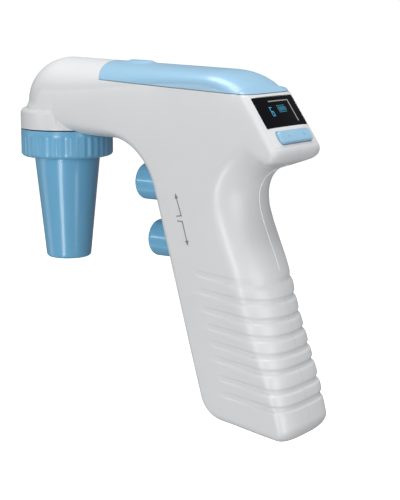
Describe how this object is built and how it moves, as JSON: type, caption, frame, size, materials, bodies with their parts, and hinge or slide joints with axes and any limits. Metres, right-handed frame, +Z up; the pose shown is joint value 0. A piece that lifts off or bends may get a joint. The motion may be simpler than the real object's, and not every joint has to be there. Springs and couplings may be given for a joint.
{
  "type": "pipette controller",
  "caption": "Hand-held motorised pipette controller with a screw-on nosepiece, two plunger triggers, a speed rocker, a display and a lift-off battery cover.",
  "frame": {"origin": "the middle of the hand grip, in the mid-plane", "axes": "+Z up with the nose hanging down, -X toward the nose, +X toward the display, +Y to the user's right"},
  "size_m": [0.1444, 0.04, 0.149],
  "materials": {
    "white_plastic": "smooth white moulded plastic, satin gloss",
    "pale_blue_plastic": "smooth pale blue moulded plastic",
    "blue_plastic": "smooth mid blue moulded plastic",
    "display_glass": "black polished display window with a lit digit and a battery sign",
    "black_plastic": "black moulded plastic",
    "circuit_board": "green solder mask",
    "silicone": "translucent white silicone rubber",
    "filter_plastic": "white polypropylene",
    "rubber": "black rubber",
    "steel": "plated steel",
    "brass": "brass",
    "battery_wrap": "shrink wrap",
    "clear_tube": "translucent silicone tube"
  },
  "bodies": {
    "housing": {"left_housing": "white_plastic", "right_housing": "white_plastic", "rear_panel": "white_plastic", "display_window": "display_glass", "display_module": "black_plastic", "crank_case": "black_plastic", "pump_head": "black_plastic", "aspirate_valve_body": "black_plastic", "dispense_valve_body": "black_plastic", "battery_holder": "black_plastic", "nose_spigot": "black_plastic", "slower_switch": "black_plastic", "faster_switch": "black_plastic", "key_board": "circuit_board", "main_board": "circuit_board", "aspirate_stem_seal": "rubber", "dispense_stem_seal": "rubber", "pump_diaphragm": "rubber", "aspirate_spring": "steel", "dispense_spring": "steel", "pump_motor": "steel", "charging_socket": "steel", "front_contact": "brass", "rear_contact": "brass", "battery_cell": "battery_wrap", "nose_tube": "clear_tube", "suction_tube": "clear_tube", "pressure_tube": "clear_tube", "housing_screw_1": "steel", "housing_screw_2": "steel", "housing_screw_3": "steel", "housing_screw_4": "steel", "housing_screw_5": "steel"},
    "aspirate_trigger": {"aspirate_trigger": "blue_plastic"},
    "dispense_trigger": {"dispense_trigger": "blue_plastic"},
    "speed_rocker": {"speed_rocker": "pale_blue_plastic"},
    "nose_carrier": {"pipette_holder": "silicone", "membrane_filter": "filter_plastic"},
    "nosepiece": {"nosepiece": "blue_plastic"},
    "top_cover": {"top_cover": "pale_blue_plastic"},
    "motor_crank": {"motor_crank": "brass"}
  },
  "joints": [
    {"name": "aspirate_press", "type": "slide", "parent": "housing", "child": "aspirate_trigger", "axis": [1, 0, 0], "range_m": [0, 0.004], "stiffness_N_per_m": 500, "springref_m": -0.002, "deforming": ["aspirate_spring"]},
    {"name": "dispense_press", "type": "slide", "parent": "housing", "child": "dispense_trigger", "axis": [1, 0, 0], "range_m": [0, 0.004], "stiffness_N_per_m": 500, "springref_m": -0.002, "deforming": ["dispense_spring"]},
    {"name": "speed_rock", "type": "hinge", "parent": "housing", "child": "speed_rocker", "pos_m": [0.02643, 0, 0.05497], "axis": [0.568, 0, -0.823], "range_deg": [-3, 3], "stiffness_Nm_per_rad": 0.1},
    {"name": "nose_drop", "type": "slide", "parent": "housing", "child": "nose_carrier", "axis": [0, 0, -1], "range_m": [0, 0.0045]},
    {"name": "nose_turn", "type": "hinge", "parent": "nose_carrier", "child": "nosepiece", "pos_m": [-0.086, 0, 0.025], "axis": [0, 0, -1], "range_deg": [0, 540.01]},
    {"name": "cover_lift", "type": "slide", "parent": "housing", "child": "top_cover", "axis": [0, 0, 1], "range_m": [0, 0.02]},
    {"name": "motor_spin", "type": "hinge", "parent": "housing", "child": "motor_crank", "pos_m": [0.007, 0, -0.0225], "axis": [-0.2756, 0, 0.9613], "continuous": true}
  ],
  "couplings": [
    {"joint": "nose_turn", "follows": "nose_drop", "rad_per_m": 2094.4}
  ]
}
